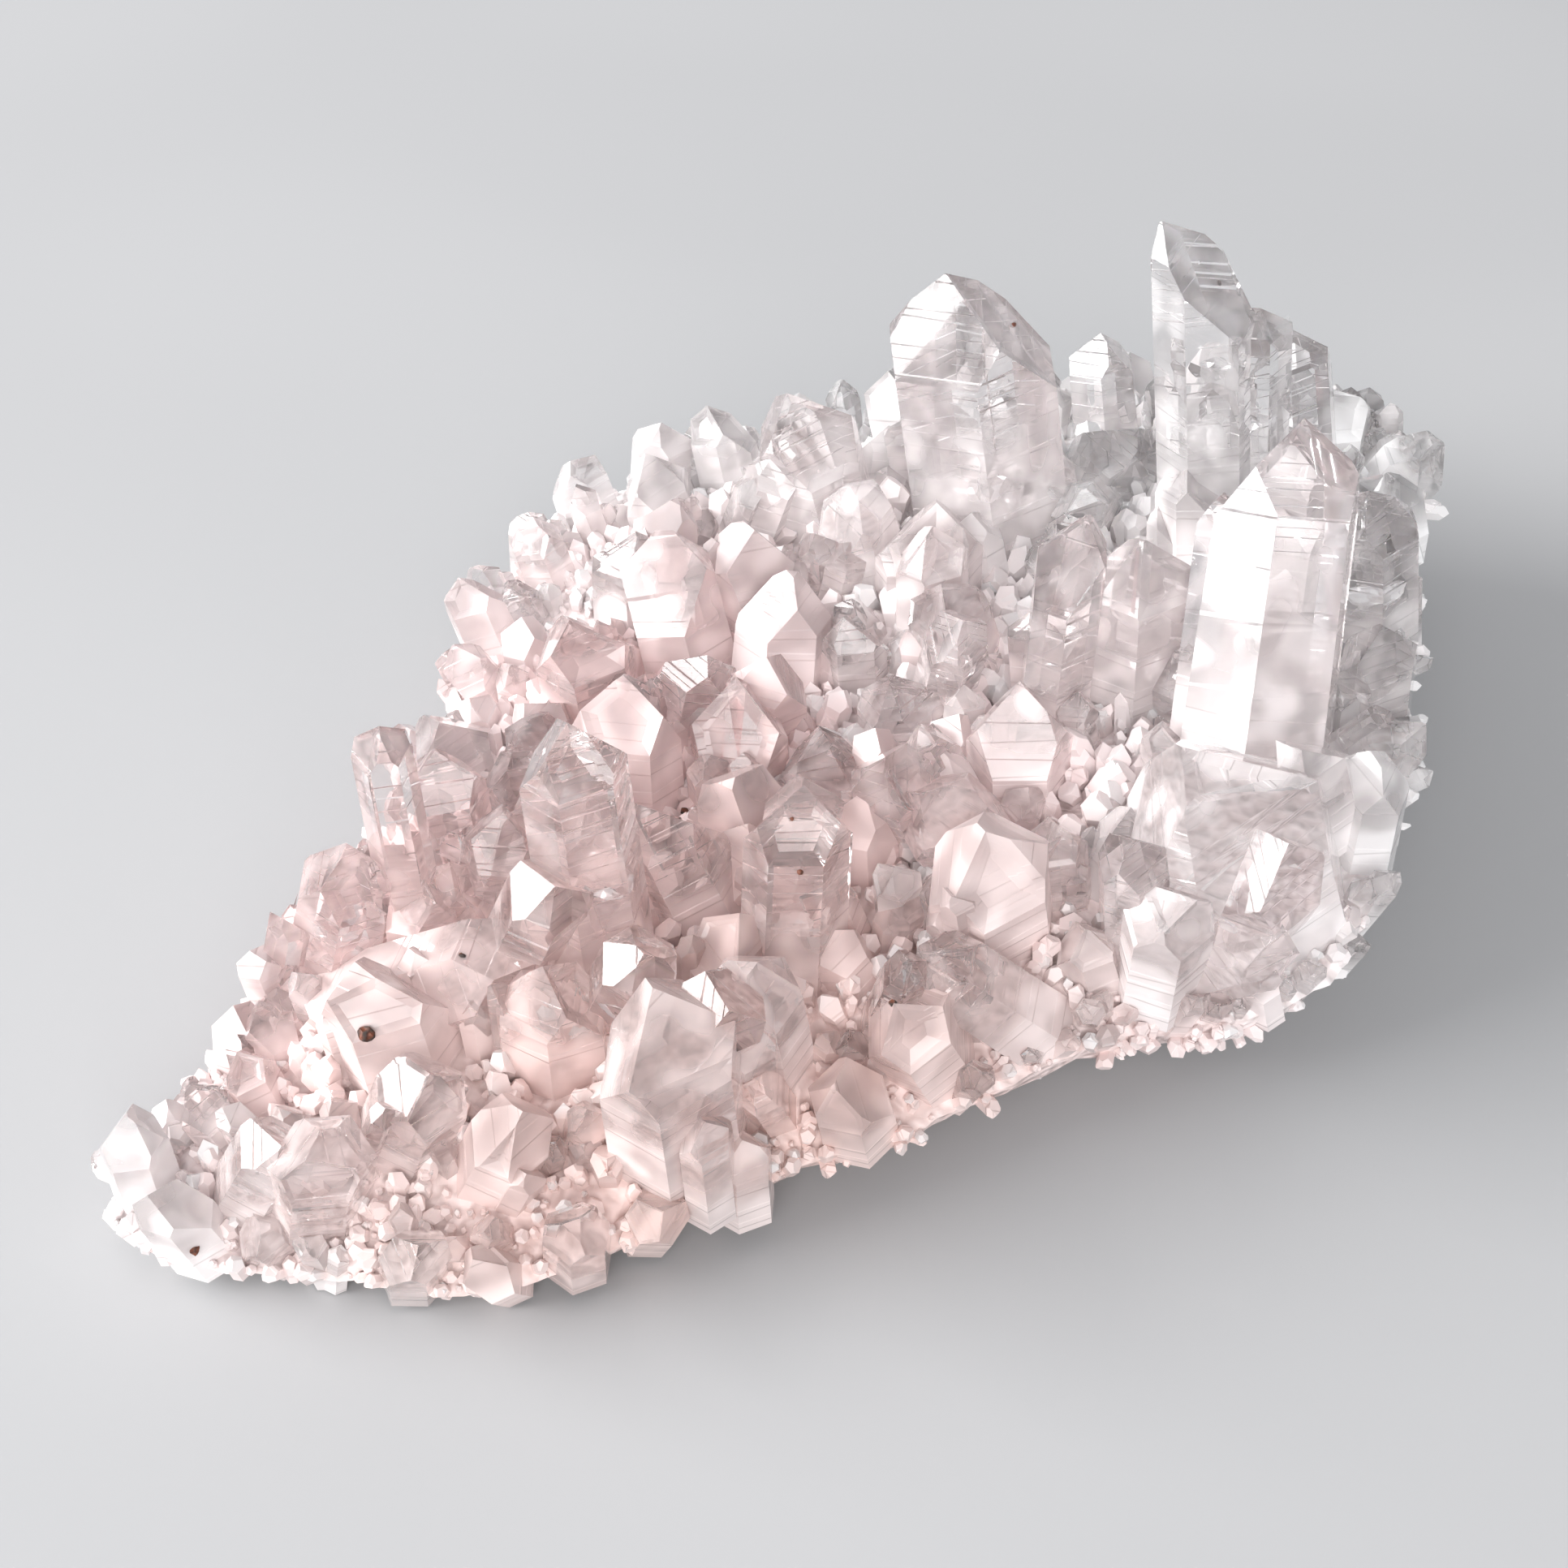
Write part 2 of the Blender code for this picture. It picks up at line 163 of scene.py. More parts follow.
scene.view_settings.view_transform = "Standard"
scene.cycles.max_bounces = BOUNCES
scene.cycles.transmission_bounces = BOUNCES
scene.cycles.glossy_bounces = 8
scene.cycles.diffuse_bounces = 3
scene.cycles.sample_clamp_indirect = 30.0
scene.cycles.use_light_tree = False

# %% [markdown]
# Every finish is made of nodes, and a few small helpers keep that short: one adds a node and sets
# its inputs, one maps a value to another range, and one gives soft noise. The noise reads the
# object's own coordinates, in metres. The simple glass model is enough for smooth faces.

# %% Helpers for the finishes
QUARTZ_IOR = 1.544


class Finish:
    """A material under construction, with its shader and short calls for the nodes it needs."""

    def __init__(self, name):
        self.material = bpy.data.materials.new(name)
        self.material.use_nodes = True
        self.tree = self.material.node_tree
        self.shader = self.tree.nodes["Principled BSDF"]
        self.shader.distribution = "GGX"
        self.output = self.tree.nodes["Material Output"]
        self.place = self.node("ShaderNodeTexCoord").outputs["Object"]

    def node(self, kind, settings=None, **values):
        """Adds a node. A value that is a socket is linked, and any other is set."""
        made = self.tree.nodes.new(kind)
        for key, value in (settings or {}).items():
            setattr(made, key, value)
        for key, value in values.items():
            self.put(made.inputs[key.replace("_", " ")], value)
        return made

    def put(self, socket, value):
        """Links a socket to this one, or sets it to a plain value."""
        if isinstance(value, bpy.types.NodeSocket):
            self.tree.links.new(value, socket)
        else:
            socket.default_value = value

    def spread(self, value, low, high, to_low, to_high):
        """Maps a value from one range to another, smoothly and without going past the ends."""
        made = self.node("ShaderNodeMapRange", {"interpolation_type": "SMOOTHSTEP"}, Value=value)
        for name, number in (("From Min", low), ("From Max", high), ("To Min", to_low), ("To Max", to_high)):
            made.inputs[name].default_value = number
        return made.outputs["Result"]

    def blotches(self, size_mm):
        """Soft noise with blotches of about this size, mostly between 0.35 and 0.65."""
        made = self.node("ShaderNodeTexNoise", Vector=self.place, Scale=1 / (size_mm * MM), Detail=0.0)
        return made.outputs["Fac"]

    def mix(self, share, first, second):
        """A colour between two, by a share of the second."""
        made = self.node("ShaderNodeMix", {"data_type": "RGBA"})
        self.put(made.inputs["Factor"], share)
        self.put(made.inputs[6], first)
        self.put(made.inputs[7], second)
        return made.outputs[2]

    def add(self, first, second):
        """The sum of two values, never above one."""
        made = self.node("ShaderNodeMath", {"operation": "ADD", "use_clamp": True})
        self.put(made.inputs[0], first)
        self.put(made.inputs[1], second)
        return made.outputs[0]

    def bump(self, height, distance_mm):
        """The bent normal of a surface that rises by this much where the height is one."""
        return self.node("ShaderNodeBump", Height=height, Distance=distance_mm * MM).outputs["Normal"]

    def absorb(self, color, density):
        """Light keeps this colour on its way through and loses the rest, so thick quartz is deeper."""
        made = self.node("ShaderNodeVolumeAbsorption", Color=color, Density=density)
        self.tree.links.new(made.outputs["Volume"], self.output.inputs["Volume"])


# %% [markdown]
# Quartz itself is clear. It looks pink where the light has gone a long way through it, and white
# where it is full of tiny bubbles: at the roots, in the stubby points of the right rim, and in the
# frosted ones in front. So one recipe serves every kind: each point has its own share of milk, it
# gets cloudier towards its root, and fine growth steps run across its faces.

# %% Quartz finishes
CLEAR = (1.0, 1.0, 1.0, 1.0)
PALE = (0.995, 0.985, 0.985, 1.0)
ROSE = (0.99, 0.80, 0.785, 1.0)
PEACH = (0.99, 0.78, 0.72, 1.0)
# How much less clear the root is, and up to what share of the height, and the same for the clouds
# inside, with their size in millimetres.
ROOT_MILK = 0.5
ROOT_TALL = 0.75
CLOUD_MILK = 0.22
CLOUD_SIZE = 2.6
LEAST_CLEAR = 0.05
ROUGHEST = 0.4
# Growth steps are drawn out round the point and lie close together along it. A step starts and
# ends at these values of the noise, and rises by this many millimetres.
STEP_STRETCH = (0.03, 0.8, 1.0)
STEP_EDGES = (0.56, 0.6)
STEP_RISE = 0.04


def milky_colour(finish):
    """White to rose and to peach, by the two shares in the tint map."""
    tint = finish.node("ShaderNodeUVMap", {"uv_map": "tint"}).outputs["UV"]
    shares = finish.node("ShaderNodeSeparateXYZ", Vector=tint)
    colour = finish.mix(shares.outputs["X"], PALE, ROSE)
    return finish.mix(shares.outputs["Y"], colour, PEACH)


def make_quartz(name, clearest, smoothest, absorb_colour, absorb_density):
    """Clear at the tips, cloudy in patches and at the roots, and as milky as each point's share."""
    finish = Finish(name)
    facts = finish.node("ShaderNodeUVMap", {"uv_map": "facts"}).outputs["UV"]
    parts = finish.node("ShaderNodeSeparateXYZ", Vector=facts)
    milk = parts.outputs["X"]
    root = finish.spread(parts.outputs["Y"], 0.0, ROOT_TALL, ROOT_MILK, 0.0)
    clouds = finish.spread(finish.blotches(CLOUD_SIZE), 0.4, 0.75, 0.0, CLOUD_MILK)
    opaque = finish.add(finish.add(root, milk), clouds)
    clearness = finish.spread(opaque, 0.0, 1.0, clearest, LEAST_CLEAR)
    finish.put(finish.shader.inputs["Transmission Weight"], clearness)
    colour = finish.mix(finish.spread(opaque, 0.0, 0.5, 0.05, 1.0), CLEAR, milky_colour(finish))
    finish.put(finish.shader.inputs["Base Color"], colour)
    finish.put(finish.shader.inputs["Roughness"], finish.spread(milk, 0.1, 0.6, smoothest, ROUGHEST))
    finish.shader.inputs["IOR"].default_value = QUARTZ_IOR
    grain = finish.node("ShaderNodeUVMap", {"uv_map": "grain"}).outputs["UV"]
    lines = finish.node("ShaderNodeMapping", Vector=grain, Scale=STEP_STRETCH).outputs["Vector"]
    waves = finish.node("ShaderNodeTexNoise", Vector=lines, Scale=1.0, Detail=0.0)
    steps = finish.spread(waves.outputs["Fac"], *STEP_EDGES, 0.0, 1.0)
    finish.put(finish.shader.inputs["Normal"], finish.bump(steps, STEP_RISE))
    finish.absorb(absorb_colour, absorb_density)
    return finish.material


MATERIALS = {
    "points": make_quartz(
        "quartz", clearest=1.0, smoothest=0.02, absorb_colour=(0.97, 0.84, 0.84, 1.0), absorb_density=15.0
    ),
    "fine": make_quartz(
        "fine_quartz", clearest=0.2, smoothest=0.2, absorb_colour=(0.95, 0.78, 0.77, 1.0), absorb_density=30.0
    ),
}
# How milky each kind of point is, at least and at most.
MILK = {"clear": (0.06, 0.16), "pink": (0.2, 0.45), "milky": (0.22, 0.36)}
# How much of the tint of its place each kind takes on.
TINT_DEPTH = {"clear": 0.75, "pink": 1.0, "milky": 0.45}

# %% [markdown]
# The plate is the milky first crust, with the broken rock side below. Its colour follows the same
# places as the points, so that what shows through a clear point matches what is beside it. The
# hollows between its grains are darkened by painted shade, and the grains themselves are rough.

# %% Plate finish
# Painted shade: the colour that the hollows between the grains are darkened towards.
HOLLOW_PAINTED_SHADE = (0.82, 0.79, 0.78, 1.0)
GRAIN_SIZE = 0.8
GRAIN_RISE = 0.5

crust = Finish("milky_plate")
grains = crust.blotches(GRAIN_SIZE)
# Painted shade: where the grain noise is low, in the hollows of the bump, the milky colour is multiplied
# darker.
unshaded_share = crust.spread(grains, 0.35, 0.65, 0.0, 1.0)
painted_shade_mix = crust.node("ShaderNodeMix", {"data_type": "RGBA", "blend_type": "MULTIPLY"}, Factor=1.0)
crust.put(painted_shade_mix.inputs[6], milky_colour(crust))
crust.put(painted_shade_mix.inputs[7], crust.mix(unshaded_share, HOLLOW_PAINTED_SHADE, CLEAR))
crust.put(crust.shader.inputs["Base Color"], painted_shade_mix.outputs[2])
crust.put(crust.shader.inputs["Roughness"], crust.spread(grains, 0.35, 0.65, 0.35, 0.6))
crust.shader.inputs["IOR"].default_value = QUARTZ_IOR
crust.put(crust.shader.inputs["Normal"], crust.bump(grains, GRAIN_RISE))
MATERIALS["plate"] = crust.material
print("finishes", sorted(MATERIALS))

# %% [markdown]
# The floor is pale stone, honed rather than polished, with hardly any tone of its own.

# %% Floor finish
PALE_STONE = ((0.405, 0.405, 0.41, 1.0), (0.415, 0.415, 0.42, 1.0))
STONE_BLOTCH = 60.0

stone = Finish("pale_stone")
tone = stone.spread(stone.blotches(STONE_BLOTCH), 0.35, 0.65, 0.0, 1.0)
stone.put(stone.shader.inputs["Base Color"], stone.mix(tone, *PALE_STONE))
stone.put(stone.shader.inputs["Roughness"], stone.spread(tone, 0.0, 1.0, 0.56, 0.58))
stone.shader.inputs["Specular IOR Level"].default_value = 0.3
floor_mesh.materials.append(stone.material)
print("floor half width in m", FLOOR_HALF)

# %% [markdown]
# The plate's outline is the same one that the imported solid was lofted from, so every point can
# stand on the same spot. This coarse plate only carries the points' feet, and isn't kept.

# %% The plate that the points stand on
RIM = [
    (-54.0, -6.0, 3.0),
    (-51.0, -11.0, 2.0),
    (-44.0, -16.5, 1.8),
    (-36.5, -22.0, 2.2),
    (-26.0, -24.5, 3.0),
    (-13.5, -27.0, 4.0),
    (-1.0, -28.5, 5.0),
    (6.5, -32.5, 5.5),
    (12.5, -34.0, 7.0),
    (20.0, -30.5, 9.0),
    (28.0, -25.0, 11.0),
    (35.0, -18.0, 12.5),
    (43.0, -10.5, 13.0),
    (51.0, -3.0, 13.0),
    (53.0, 7.0, 12.0),
    (45.0, 15.5, 11.0),
    (34.0, 22.0, 10.0),
    (22.0, 29.0, 9.0),
    (9.0, 33.0, 8.0),
    (-4.0, 33.0, 6.5),
    (-12.0, 26.5, 5.5),
    (-19.0, 19.5, 5.0),
    (-28.0, 12.0, 5.0),
    (-38.0, 4.0, 4.5),
    (-47.0, -1.0, 3.5),
]
RIM_STEPS = 2
# Each ring's share of the outline, of the rim's height, and of the rise to the crown.
RINGS = [
    (0.66, 0.0, 0.0),
    (0.86, 0.3, 0.0),
    (0.97, 0.8, 0.0),
    (1.0, 1.15, 0.05),
    (0.93, 1.0, 0.5),
    (0.78, 1.0, 0.9),
    (0.54, 1.0, 1.0),
    (0.28, 1.0, 1.0),
]
CROWN_HEIGHT = 11.5
CROWN_SLOPE = 0.09
HOLLOW_DEPTH = 2.5
HOLLOW_CENTRE = (-3.0, 5.0)
HOLLOW_RADIUS = 17.0
LUMP_SIZE = 7.0
LUMP_HEIGHT = 1.1
MIDDLE = (0.0, 0.5)
TO_MIDDLE = Matrix.Translation((-MIDDLE[0] * MM, -MIDDLE[1] * MM, 0))


def smooth_rim():
    """The outline as a closed curve through its points, RIM_STEPS points to each stretch."""
    count = len(RIM)
    curve = []
    for i in range(count):
        before, here, after, beyond = (Vector(RIM[(i + k) % count]) for k in (-1, 0, 1, 2))
        for step in range(RIM_STEPS):
            t = step / RIM_STEPS
            bend = (after - before) * t
            bend += (2 * before - 5 * here + 4 * after - beyond) * t * t
            bend += (3 * here - 3 * after + beyond - before) * t * t * t
            curve.append(here + bend / 2)
    return curve


def crown(x, y):
    """The height that the top of the plate reaches away from its rim."""
    away = Vector((x - HOLLOW_CENTRE[0], y - HOLLOW_CENTRE[1])).length / HOLLOW_RADIUS
    return CROWN_HEIGHT + CROWN_SLOPE * x - HOLLOW_DEPTH * math.exp(-away * away)


def lump(place):
    """A small shift that makes the plate knobbly. The flat underside stays flat."""
    shift = noise.noise_vector(place / LUMP_SIZE) * LUMP_HEIGHT
    shift.z *= min(1.0, place.z / LUMP_SIZE)
    return shift


def make_plate():
    """Rings of the outline, bridged from the flat underside, out to the rim and in over the crown."""
    bm = bmesh.new()
    loops = []
    for number, (share, of_rim, rise) in enumerate(RINGS):
        ends = number in (0, len(RINGS) - 1)
        circle = bmesh.ops.create_circle(bm, segments=len(outline), radius=1.0, cap_ends=ends)["verts"]
        for vert, (x, y, rim_height) in zip(circle, outline):
            x *= share
            y *= share
            height = rim_height * of_rim + (crown(x, y) - rim_height) * rise
            place = Vector((x, y, max(height, 0.0)))
            vert.co = (place + lump(place)) * MM
        loops.append([e for e in bm.edges if e.verts[0] in circle and e.verts[1] in circle])
    for inner, outer in zip(loops, loops[1:]):
        bmesh.ops.bridge_loops(bm, edges=inner + outer)
    caps = [f for f in bm.faces if len(f.verts) > 4]
    top = max(caps, key=lambda f: f.calc_center_median().z)
    bmesh.ops.poke(bm, faces=[top])
    bmesh.ops.recalc_face_normals(bm, faces=bm.faces)
    return bm


outline = smooth_rim()
bm = make_plate()
plate_mesh = bpy.data.meshes.new("feet")
bm.to_mesh(plate_mesh)
bm.free()
feet = bpy.data.objects.new("feet", plate_mesh)
scene.collection.objects.link(feet)
bpy.context.view_layer.update()
print("plate faces", len(plate_mesh.polygons))

# %% [markdown]
# A quartz point is a six-sided prism that narrows a little, cut at the tip by six sloping planes,
# three of them larger. Three maps ride on its faces. "grain" holds millimetres round and along
# the point, for the growth steps. "facts" holds how milky it is and the share of its height, and
# "tint" holds how much rose and how much peach it takes on.

# %% One quartz point
TIP_FACE_ANGLE = math.radians(51.8)
CORNER_SHARE = 0.54
ROOT_SHARE = 0.55
ROOT_LEAST = 3.0
LARGE_FACE_BACK = (-0.02, 0.05)
SMALL_FACE_BACK = (-0.3, 0.0)
TOP_TILT = 0.3
FLATNESS = (0.78, 1.0)
ROSE_MIDDLE = Vector((-18.0, -6.0, 8.0))
ROSE_REACH = 50.0
PEACH_MIDDLE = Vector((-24.0, -26.0, 0.0))
PEACH_REACH = 36.0
# How strong each tint is at its middle, how much rose there is everywhere, and how uneven it is.
ROSE_MOST = 1.2
ROSE_LEAST = 0.1
ROSE_UNEVEN = 0.12
PEACH_MOST = 0.9
PATCH_SIZE = 11.0
PATCH_STRENGTH = 0.6
# How far apart, round and along, the growth steps of two points lie in their shared noise.
GRAIN_APART = (40, 70)


def cut_off(bm, place, normal):
    """Takes off what lies beyond a plane, and closes the cut with one flat face."""
    everything = bm.verts[:] + bm.edges[:] + bm.faces[:]
    cut = bmesh.ops.bisect_plane(
        bm, geom=everything, plane_co=place, plane_no=normal, clear_outer=True
    )["geom_cut"]
    edges = [g for g in cut if isinstance(g, bmesh.types.BMEdge)]
    if len(edges) > 2:
        bmesh.ops.contextual_create(bm, geom=edges)


def make_point(length, width, taper, long_face, blunt, rng):
    """One quartz point with its tip at z = length and its root below zero, in millimetres."""
    bm = bmesh.new()
    root = max(ROOT_LEAST, ROOT_SHARE * width)
    depth = root + length + width
    corner = CORNER_SHARE * width
    bmesh.ops.create_cone(
        bm,
        cap_ends=True,
        segments=6,
        radius1=corner,
        radius2=corner * taper,
        depth=depth,
        matrix=Matrix.Translation((0, 0, depth / 2 - root)),
    )
    for i in range(6):
        turn = math.radians(60 * i)
        normal = Vector((math.cos(turn), math.sin(turn), 0)) * math.sin(TIP_FACE_ANGLE)
        normal.z = math.cos(TIP_FACE_ANGLE)
        larger = i % 2 == 0
        back = rng.uniform(*(LARGE_FACE_BACK if larger else SMALL_FACE_BACK))
        if i == 0:
            back += long_face
        cut_off(bm, Vector((0, 0, length)) - normal * back * width, normal)
    if blunt > 0:
        tilt = Vector((rng.uniform(-TOP_TILT, TOP_TILT), rng.uniform(-TOP_TILT, TOP_TILT), 0))
        top = (Vector((0, 0, 1)) + tilt).normalized()
        cut_off(bm, Vector((0, 0, length - blunt * width)), top)
    bmesh.ops.scale(bm, vec=(1.0, rng.uniform(*FLATNESS), 1.0), verts=bm.verts)
    tip = max(v.co.z for v in bm.verts)
    bmesh.ops.translate(bm, vec=(0, 0, length - tip), verts=bm.verts)
    return bm


def tint_at(place, rng, depth=1.0):
    """Shares of rose and of peach. Rose in the middle, peach along the front of the thin end."""
    from_middle = (place - ROSE_MIDDLE).length
    from_front = (place - PEACH_MIDDLE).length
    patch = 1.0 + PATCH_STRENGTH * noise.noise(place / PATCH_SIZE)
    rose = ROSE_LEAST + ROSE_MOST * patch * max(0.0, 1.0 - from_middle / ROSE_REACH)
    rose += rng.uniform(-ROSE_UNEVEN, ROSE_UNEVEN)
    peach = PEACH_MOST * (1.0 - from_front / PEACH_REACH)
    return min(1.0, max(0.0, rose)) * depth, min(1.0, max(0.0, peach)) * depth


def lay_maps(bm, length, milk, tint, own_number):
    """Fills the three maps while the point still stands upright at the origin."""
    grain = bm.loops.layers.uv.new("grain")
    facts = bm.loops.layers.uv.new("facts")
    tints = bm.loops.layers.uv.new("tint")
    up = Vector((0, 0, 1))
    round_shift, along_shift = (apart * own_number for apart in GRAIN_APART)
    bm.normal_update()
    for face in bm.faces:
        across = up.cross(face.normal)
        across = across.normalized() if across.length > 0.01 else Vector((1, 0, 0))
        along = face.normal.cross(across)
        for loop in face.loops:
            place = loop.vert.co
            loop[grain].uv = (place.dot(across) + round_shift, place.dot(along) + along_shift)
            loop[facts].uv = (milk, min(1.0, max(0.0, place.z / length)))
            loop[tints].uv = tint


def turned(turn, lean, toward):
    """Turns a point about its own axis, then leans it over, all in degrees."""
    way = math.radians(toward)
    across = Vector((-math.sin(way), math.cos(way), 0))
    return Matrix.Rotation(math.radians(lean), 4, across) @ Matrix.Rotation(math.radians(turn), 4, "Z")


# %% [markdown]
# Skeletal quartz grows faster along its edges than in the middle of its faces. That leaves sunken
# windows, one step inside another, and ledges across the sides. Both are cut into the larger
# points: a window is a face inset and sunk again and again, and a ledge is a band of a side, sunk.

# %% Sunken windows and ledges
# The inset is a share of the point's width, and everything else is in millimetres.
SUNK_INSET = (0.05, 0.09)
SUNK_DEPTH = (0.06, 0.16)
SUNK_STEPS = (1, 3)
LEDGES = (4, 9)
LEDGE_TALL = (0.35, 1.1)
LEDGE_INSET = 0.08
LEDGE_DEPTH = (0.1, 0.22)


def sink_window(bm, face, width, steps, rng):
    """Insets a face and sinks it, step by step."""
    for _ in range(steps):
        reach = width * rng.uniform(*SUNK_INSET)
        bmesh.ops.inset_individual(bm, faces=[face], thickness=reach, depth=-rng.uniform(*SUNK_DEPTH))


def sink_bands(bm, width, count, rng):
    """Cuts a side into bands across the point and sinks every other one a little."""
    sides = [f for f in bm.faces if abs(f.normal.z) < 0.2 and f.calc_area() > width]
    if not sides:
        return
    side = rng.choice(sides)
    normal = side.normal.copy()
    top = max(v.co.z for v in side.verts)
    pieces = [side]
    height = top - rng.uniform(0.05, 0.2) * width
    for _ in range(count):
        edges = list({e for f in pieces for e in f.edges})
        verts = list({v for f in pieces for v in f.verts})
        band = pieces + edges + verts
        cut = bmesh.ops.bisect_plane(bm, geom=band, plane_co=(0, 0, height), plane_no=(0, 0, 1))
        pieces = [g for g in cut["geom"] if isinstance(g, bmesh.types.BMFace)]
        height -= rng.uniform(*LEDGE_TALL)
    pieces = [f for f in pieces if f.is_valid and f.normal.dot(normal) > 0.9]
    pieces.sort(key=lambda f: f.calc_center_median().z)
    for face in pieces[1:-1:2]:
        depth = rng.uniform(*LEDGE_DEPTH)
        bmesh.ops.inset_individual(bm, faces=[face], thickness=LEDGE_INSET, depth=-depth)


# %% [markdown]
# Clear quartz is never empty. Cracks that healed again leave thin, crumpled pockets of air inside,
# and their faces mirror the light like silver. So each pocket is real: a sphere pressed flat,
# crumpled by noise and turned inside out, which makes it a hollow in the glass.

# %% Veils inside a point
# The thickness is in millimetres. The reach, the room for it and the gap under the tip are shares
# of the point's width, the tilt is in degrees, and the rest are shares of the pocket's own radius
# or waves across it.
VEIL_THICKNESS = 0.04
VEIL_REACH = (0.1, 0.26)
VEIL_RAGGED = 0.5
VEIL_OVAL = 0.7
VEIL_CRUMPLE = 0.35
VEIL_TILT = (15, 80)
VEIL_ROOM = 0.3
VEIL_UNDER_TIP = 0.8
RAGGED_WAVES = 1.5
CRUMPLE_WAVES = 1.3


def add_veil(bm, length, width, rng):
    """Leaves one flat pocket of air inside a point, well within its sides."""
    radius = width * rng.uniform(*VEIL_REACH)
    aside = rng.uniform(0, math.tau)
    off = rng.uniform(0, max(0.0, VEIL_ROOM * width - radius))
    height = radius + rng.random() * max(0.0, length - VEIL_UNDER_TIP * width - 2 * radius)
    stand = Matrix.Translation((math.cos(aside) * off, math.sin(aside) * off, height))
    stand @= Matrix.Rotation(rng.uniform(0, math.tau), 4, "Z")
    stand @= Matrix.Rotation(math.radians(rng.uniform(*VEIL_TILT)), 4, "X")
    verts = bmesh.ops.create_icosphere(bm, subdivisions=2, radius=1.0)["verts"]
    seed = Vector((rng.uniform(0, 50), 0, 0))
    for vert in verts:
        ragged = vert.co * (1.0 + VEIL_RAGGED * noise.noise(vert.co * RAGGED_WAVES + seed))
        flat = Vector((ragged.x, ragged.y * VEIL_OVAL, 0))
        flat.z = noise.noise(flat * CRUMPLE_WAVES + seed) * VEIL_CRUMPLE
        vert.co = stand @ (flat * radius + Vector((0, 0, vert.co.z * VEIL_THICKNESS)))
    bmesh.ops.reverse_faces(bm, faces=list({f for v in verts for f in v.link_faces}))


# %% [markdown]
# The points that stand out, read off the photo one by one: the two tall ones and the broad one at
# the thick end, the slim clear ones of the thin end, and the low milky ones along the front.

# %% The points that stand out
class Point(NamedTuple):
    """A point's foot in millimetres, its size, its lean and turn in degrees, and its finish."""

    name: str
    x: float
    y: float
    length: float
    width: float
    lean: float
    toward: float
    turn: float
    taper: float
    long_face: float
    blunt: float
    finish: str


